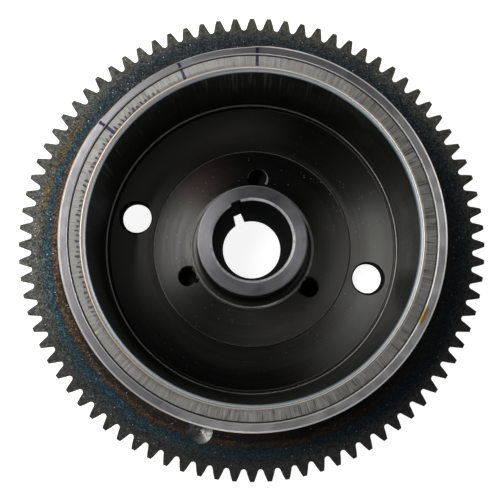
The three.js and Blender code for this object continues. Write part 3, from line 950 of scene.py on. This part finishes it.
def tooth_side():
    """One side of a tooth as (radius, angle off its centreline in radians), from mid-gap to the tip."""
    def flank(r):
        def involute(a):
            return math.tan(a) - a
        here = math.acos(PITCH_R * math.cos(PRESSURE_ANGLE) / r)
        thinned = TOOTH_THINNING / (2 * PITCH_R)
        return math.pi / (2 * GEAR_TEETH) + involute(PRESSURE_ANGLE) - involute(here) - thinned

    half_pitch = math.pi / GEAR_TEETH
    start_r = ROOT_R + ROOT_FILLET
    start = Vector(((half_pitch - flank(start_r)) * start_r, ROOT_FILLET))
    lean = PRESSURE_ANGLE * 0.8
    handles = [
        Vector((0, 0)),
        Vector((start.x * 0.6, 0)),
        start - Vector((math.sin(lean), math.cos(lean))) * ROOT_FILLET * 0.55,
        start,
    ]
    side = []
    for k in range(7):
        t = k / 7
        weights = [(1 - t) ** 3, 3 * t * (1 - t) ** 2, 3 * t * t * (1 - t), t**3]
        x, y = sum((w * h for w, h in zip(weights, handles)), Vector((0, 0)))
        side.append((ROOT_R + y, half_pitch - x / (ROOT_R + y)))
    edge_r = TIP_R - TOOTH_EDGE
    side += [(r, flank(r)) for r in np.linspace(start_r, edge_r, 9)]
    for k in (1, 2, 3):
        t = math.radians(30 * k)
        back = flank(edge_r) - TOOTH_EDGE * (1 - math.cos(t)) / TIP_R
        side.append((edge_r + TOOTH_EDGE * math.sin(t), back))
    return side


def make_gear():
    side = tooth_side()
    teeth = []
    for i in range(GEAR_TEETH):
        centre = i * 2 * math.pi / GEAR_TEETH
        teeth += [(r, centre - a) for r, a in side]
        teeth += [(r, centre + a) for r, a in side[:0:-1]]
    r, a = (np.array(column) for column in zip(*teeth))
    outline = np.stack([r * np.cos(a), r * np.sin(a)], -1)
    along = np.roll(outline, -1, 0) - np.roll(outline, 1, 0)
    outward = np.stack([along[:, 1], -along[:, 0]], -1)
    outward /= np.linalg.norm(outward, axis=1, keepdims=True)
    spokes = np.stack([np.cos(a), np.sin(a)], -1)
    eased = outline - outward * TOOTH_EDGE
    bore_edge, bore_r = 0.3, GEAR_SEAT_R + 0.1
    rings = (ROOT_R - 0.9, *GEAR_RINGS_R, bore_r + bore_edge)
    loops = [(outline, GEAR_BACK_Z + TOOTH_EDGE), (outline, GEAR_FRONT_Z - TOOTH_EDGE)]
    loops.append((eased, GEAR_FRONT_Z))
    loops += [(spokes * ring_r, GEAR_FRONT_Z) for ring_r in rings]
    loops += [(spokes * bore_r, GEAR_FRONT_Z - bore_edge), (spokes * bore_r, GEAR_BACK_Z + bore_edge)]
    loops += [(spokes * ring_r, GEAR_BACK_Z) for ring_r in reversed(rings)]
    loops.append((eased, GEAR_BACK_Z))
    points = np.concatenate([
        np.concatenate([flat, np.full((len(flat), 1), z)], 1)[:, None] for flat, z in loops
    ], 1).reshape(-1, 3)
    gear = new_object("ring_gear_fine", points, grid_faces(len(outline), len(loops), True, True))
    drilling_low_z = GEAR_FRONT_Z - DRILL_DEPTH - DRILL_POINT
    sections = [(DRILL_TIP_R, drilling_low_z), (DRILL_R, GEAR_FRONT_Z - DRILL_DEPTH)]
    sections.append((DRILL_R, GEAR_FRONT_Z + 2))
    combine(gear, "DIFFERENCE", hole_cutter((DRILL_X, DRILL_Y), sections))

    face, flank, drilling = range(3)

    def zone(r, z, normal, x, y):
        in_drilling = math.dist((x, y), (DRILL_X, DRILL_Y)) < DRILL_R + 0.02
        if in_drilling and drilling_low_z - 1 < z < GEAR_FRONT_Z - 0.01:
            return drilling
        return face if abs(normal.z) > 0.5 or r < ROOT_R - 1 else flank

    finish_piece(gear, "ring_gear", [gear_tint_and_painted_shade(), gear_flanks(), drilled()], zone, 25)


def wrinkled(r, z, degrees):
    """Fine radial wrinkles on the liner's flange, and pressed dents just outside its lip."""
    random = np.random.default_rng(84)
    a = np.radians(degrees)
    waves = sum(
        weight * np.cos(a * count + phase)
        for count, weight, phase in zip(
            random.integers(90, 330, 14), random.uniform(0.4, 1, 14), random.uniform(0, 2 * math.pi, 14)
        )
    ) / 3
    gate = 0.5 + 0.5 * np.cos(a - math.radians(20))
    gate = np.maximum(gate**2, 0.5 + 0.5 * np.cos(a - math.radians(280)))
    flange = np.clip((r - WRINKLES_R) / 0.8, 0, 1) * (z > RIM_Z - 3)
    depth = WRINKLE_DEPTH * (0.25 + 0.75 * gate) * np.clip(0.5 + 0.5 * waves, 0, 1)
    dent_gate = np.clip(1 - np.abs(degrees - DENTS_ANGLE) / 55, 0, 1) ** 0.5
    row = np.exp(-(((r - 61.5) / 0.5) ** 2))
    dents = DENT_DEPTH * dent_gate * row * np.clip(np.cos(a * 150 + waves), 0, 1)
    return r, z - flange * (depth + dents)


def make_liner():
    bend_r, bend_z = LINER_R + LINER_BEND, LINER_TOP_Z - LINER_BEND
    foot_r, foot_z = LINER_R + LINER_SHEET - LINER_FOOT_BEND, LINER_FOOT_Z + LINER_FOOT_BEND

    def arc(cx, cz, radius, start, end, steps=7):
        turns = (polar(radius, angle) for angle in np.linspace(start, end, steps))
        return [(cx + x, cz + y) for x, y in turns]

    edge = 0.12
    flange_rs = np.linspace(bend_r + 0.75, LINER_EDGE_R, 12)
    # The lip's bead, as how far out of the bend's centre and how far below the flange each point is.
    bead = [
        (0.66, 0.12), (0.56, 0.15), (0.46, 0.13), (0.19, 0.02), (0.08, 0), (-0.03, 0.02), (-0.24, 0.11),
        (-0.3, 0.21), (-0.38, 0.22),
    ]
    profile = [
        (LINER_LIP_R, LINER_FOOT_Z + edge),
        (LINER_LIP_R + edge, LINER_FOOT_Z),
        *arc(foot_r, foot_z, LINER_FOOT_BEND, -90, 0),
        *arc(bend_r, bend_z, LINER_BEND - LINER_SHEET, 180, 90),
        *[(r, LINER_TOP_Z - LINER_SHEET) for r in flange_rs[:-1]],
        (LINER_EDGE_R, LINER_TOP_Z - LINER_SHEET + 0.06),
        (LINER_EDGE_R, LINER_TOP_Z - edge),
        (LINER_EDGE_R - 0.1, LINER_TOP_Z),
        *[(r, LINER_TOP_Z) for r in flange_rs[-2::-1]],
        *[(bend_r + out, LINER_TOP_Z - down) for out, down in bead],
        *arc(bend_r, bend_z, LINER_BEND, 109, 180, 9),
        *[(LINER_R, z) for z in LINER_RINGS_Z],
        *arc(foot_r, foot_z, LINER_FOOT_BEND - LINER_SHEET, 0, -90),
        (LINER_LIP_R + 0.1, LINER_FOOT_Z + LINER_SHEET),
        (LINER_LIP_R, LINER_FOOT_Z + LINER_SHEET - edge),
    ]
    liner = new_object("magnet_liner_fine", *lathe(profile, 1080, wrinkled))

    flange, wall, lip = range(3)

    def zone(r, z, normal, x, y):
        if z < bend_z - 0.4:
            return wall
        return lip if r < bend_r + 0.52 else flange

    materials = [liner_flange(), liner_wall(), liner_lip()]
    finish_piece(liner, "magnet_liner", materials, zone)


def arc_block(name, inner_r, outer_r, angle, arc, low, high, edge=0.4, step=1.0):
    """An arc-shaped block with broken edges, centred on an angle in degrees."""
    count = round(arc / step) + 1
    section = rounded([
        (inner_r, low, edge), (outer_r, low, edge), (outer_r, high, edge), (inner_r, high, edge),
    ], 30)
    middle_r = (inner_r + outer_r) / 2
    middle_z = (low + high) / 2
    points = []
    for i in range(count):
        at = angle - arc / 2 + arc * i / (count - 1)
        pull = edge if i in (0, count - 1) else 0
        for r, z in section:
            eased_r = r + math.copysign(pull, middle_r - r)
            eased_z = z + math.copysign(pull, middle_z - z)
            points.append((*polar(eased_r, at), eased_z))
    rows = len(section)
    faces = grid_faces(count, rows, False, True)
    faces.append(list(range(rows)))
    faces.append([(count - 1) * rows + i for i in reversed(range(rows))])
    return new_object(name, points, faces)


def make_magnets():
    material = ferrite()
    for i in range(MAGNETS):
        angle = (i + 0.5) * 360 / MAGNETS
        node = f"magnet_{i + 1:02d}"
        block = arc_block(
            f"{node}_fine", MAGNET_INNER_R, MAGNET_OUTER_R, angle, MAGNET_ARC, MAGNET_LOW_Z, MAGNET_HIGH_Z
        )
        finish_piece(block, node, [material])


def make_cage():
    profile = rounded([
        (MAGNET_INNER_R, CAGE_LOW_Z, 0.2),
        (MAGNET_OUTER_R - CAGE_CORNER, CAGE_LOW_Z, 0.2),
        (MAGNET_OUTER_R, CAGE_LOW_Z + CAGE_CORNER, 0.2),
        (MAGNET_OUTER_R, CAGE_RING_TOP_Z, 0.3),
        (MAGNET_INNER_R, CAGE_RING_TOP_Z, 0.3),
    ])
    cage = new_object("magnet_cage_fine", *lathe(profile, 360))
    for i in range(MAGNETS):
        rib = arc_block(
            "rib", MAGNET_INNER_R + 0.1, MAGNET_OUTER_R - 0.1, i * 360 / MAGNETS, CAGE_RIB_ARC,
            CAGE_RING_TOP_Z - 1, MAGNET_HIGH_Z, 0.2, 0.6,
        )
        combine(cage, "UNION", rib)
    finish_piece(cage, "magnet_cage", [nylon()])


# ---------- stage

def make_camera():
    cos_y, sin_y = polar(1, CAMERA_TILT_Y)
    back = Vector((-math.sin(math.radians(CAMERA_TILT_X)), -sin_y, cos_y)).normalized()
    right = Vector((0, 1, 0)).cross(back).normalized()
    up = back.cross(right)
    data = bpy.data.cameras.new("camera")
    data.lens = CAMERA_LENS
    data.clip_start = 0.01
    camera = add_object("camera", data)
    turn = Matrix((right, up, back)).transposed()
    camera.matrix_world = Matrix.Translation((AIM + back * CAMERA_DISTANCE) * MM) @ turn.to_4x4()
    bpy.context.scene.camera = camera


def soft_light(name, azimuth, from_vertical, distance, width, height, watts, tint):
    """A rectangular soft light at that azimuth and angle off the vertical, aimed at the boss."""
    data = bpy.data.lights.new(name, "AREA")
    data.shape = "RECTANGLE"
    data.size, data.size_y = width, height
    data.energy = watts
    data.color = tint
    light = add_object(name, data)
    upward, outward = polar(1, from_vertical)
    direction = Vector((*polar(outward, azimuth), upward))
    target = Vector((0, 0, GEAR_FRONT_Z * MM))
    light.location = target + direction * distance
    light.rotation_euler = direction.to_track_quat("Z", "Y").to_euler()


def make_lights():
    soft_light("key", 161, 38, 0.9, 0.4, 0.65, 7.0, (1.0, 0.99, 0.97))
    soft_light("side_right", 18, 79, 0.9, 0.45, 0.22, 2.2, (0.96, 0.98, 1.0))
    soft_light("side_front", 262, 79, 0.9, 0.45, 0.22, 1.3, (1.0, 0.99, 0.98))


def make_world():
    """Soft studio light, brighter towards the horizon than above and below. The camera sees plain white."""
    world = bpy.data.worlds.new("studio")
    bpy.context.scene.world = world
    world.use_nodes = True
    tree = world.node_tree
    direction = add_node(tree, "TexCoord").outputs["Generated"]
    height = add_node(tree, "SeparateXYZ", direction).outputs["Z"]
    steepness = add_node(tree, "Math", height, operation="ABSOLUTE").outputs[0]
    horizon, steep, horizon_glow, steep_glow = 0.0, 0.65, 0.85, 0.06
    numbers = (steepness, horizon, steep, horizon_glow, steep_glow)
    glow = add_node(tree, "MapRange", *numbers, interpolation_type="SMOOTHSTEP").outputs[0]
    soft = tree.nodes["Background"]
    fill(tree, soft, {"Color": (0.94, 0.97, 1.0, 1), "Strength": glow})
    white = add_node(tree, "Background", (1, 1, 1, 1), 1.0)
    seen = add_node(tree, "LightPath").outputs["Is Camera Ray"]
    mix = add_node(tree, "MixShader", seen, soft.outputs[0], white.outputs[0])
    fill(tree, tree.nodes["World Output"], {"Surface": mix.outputs[0]})


def make_floor():
    """A plain white table top that glows softly, so that it stays pale through the bore and the holes."""
    half, gap = 20000, 0.1
    z = BOSS_BACK_Z - gap
    points = [(-half, -half, z), (half, -half, z), (half, half, z), (-half, half, z)]
    floor = new_object("floor", points, [(0, 1, 2, 3)])
    material = bpy.data.materials.new("floor_white")
    material.use_nodes = True
    fill(material.node_tree, material.node_tree.nodes["Principled BSDF"], {
        "Base Color": (0.6, 0.6, 0.6, 1),
        "Roughness": 0.9,
        "Specular IOR Level": 0.1,
        "Emission Color": (1, 1, 1, 1),
        "Emission Strength": 0.9,
    })
    floor.data.materials.append(material)
    floor.visible_glossy = False


make_camera()
make_world()
make_lights()
make_floor()
make_shell()
make_boss()
make_gear()
make_liner()
make_magnets()
make_cage()
bpy.context.scene.view_settings.view_transform = "Standard"
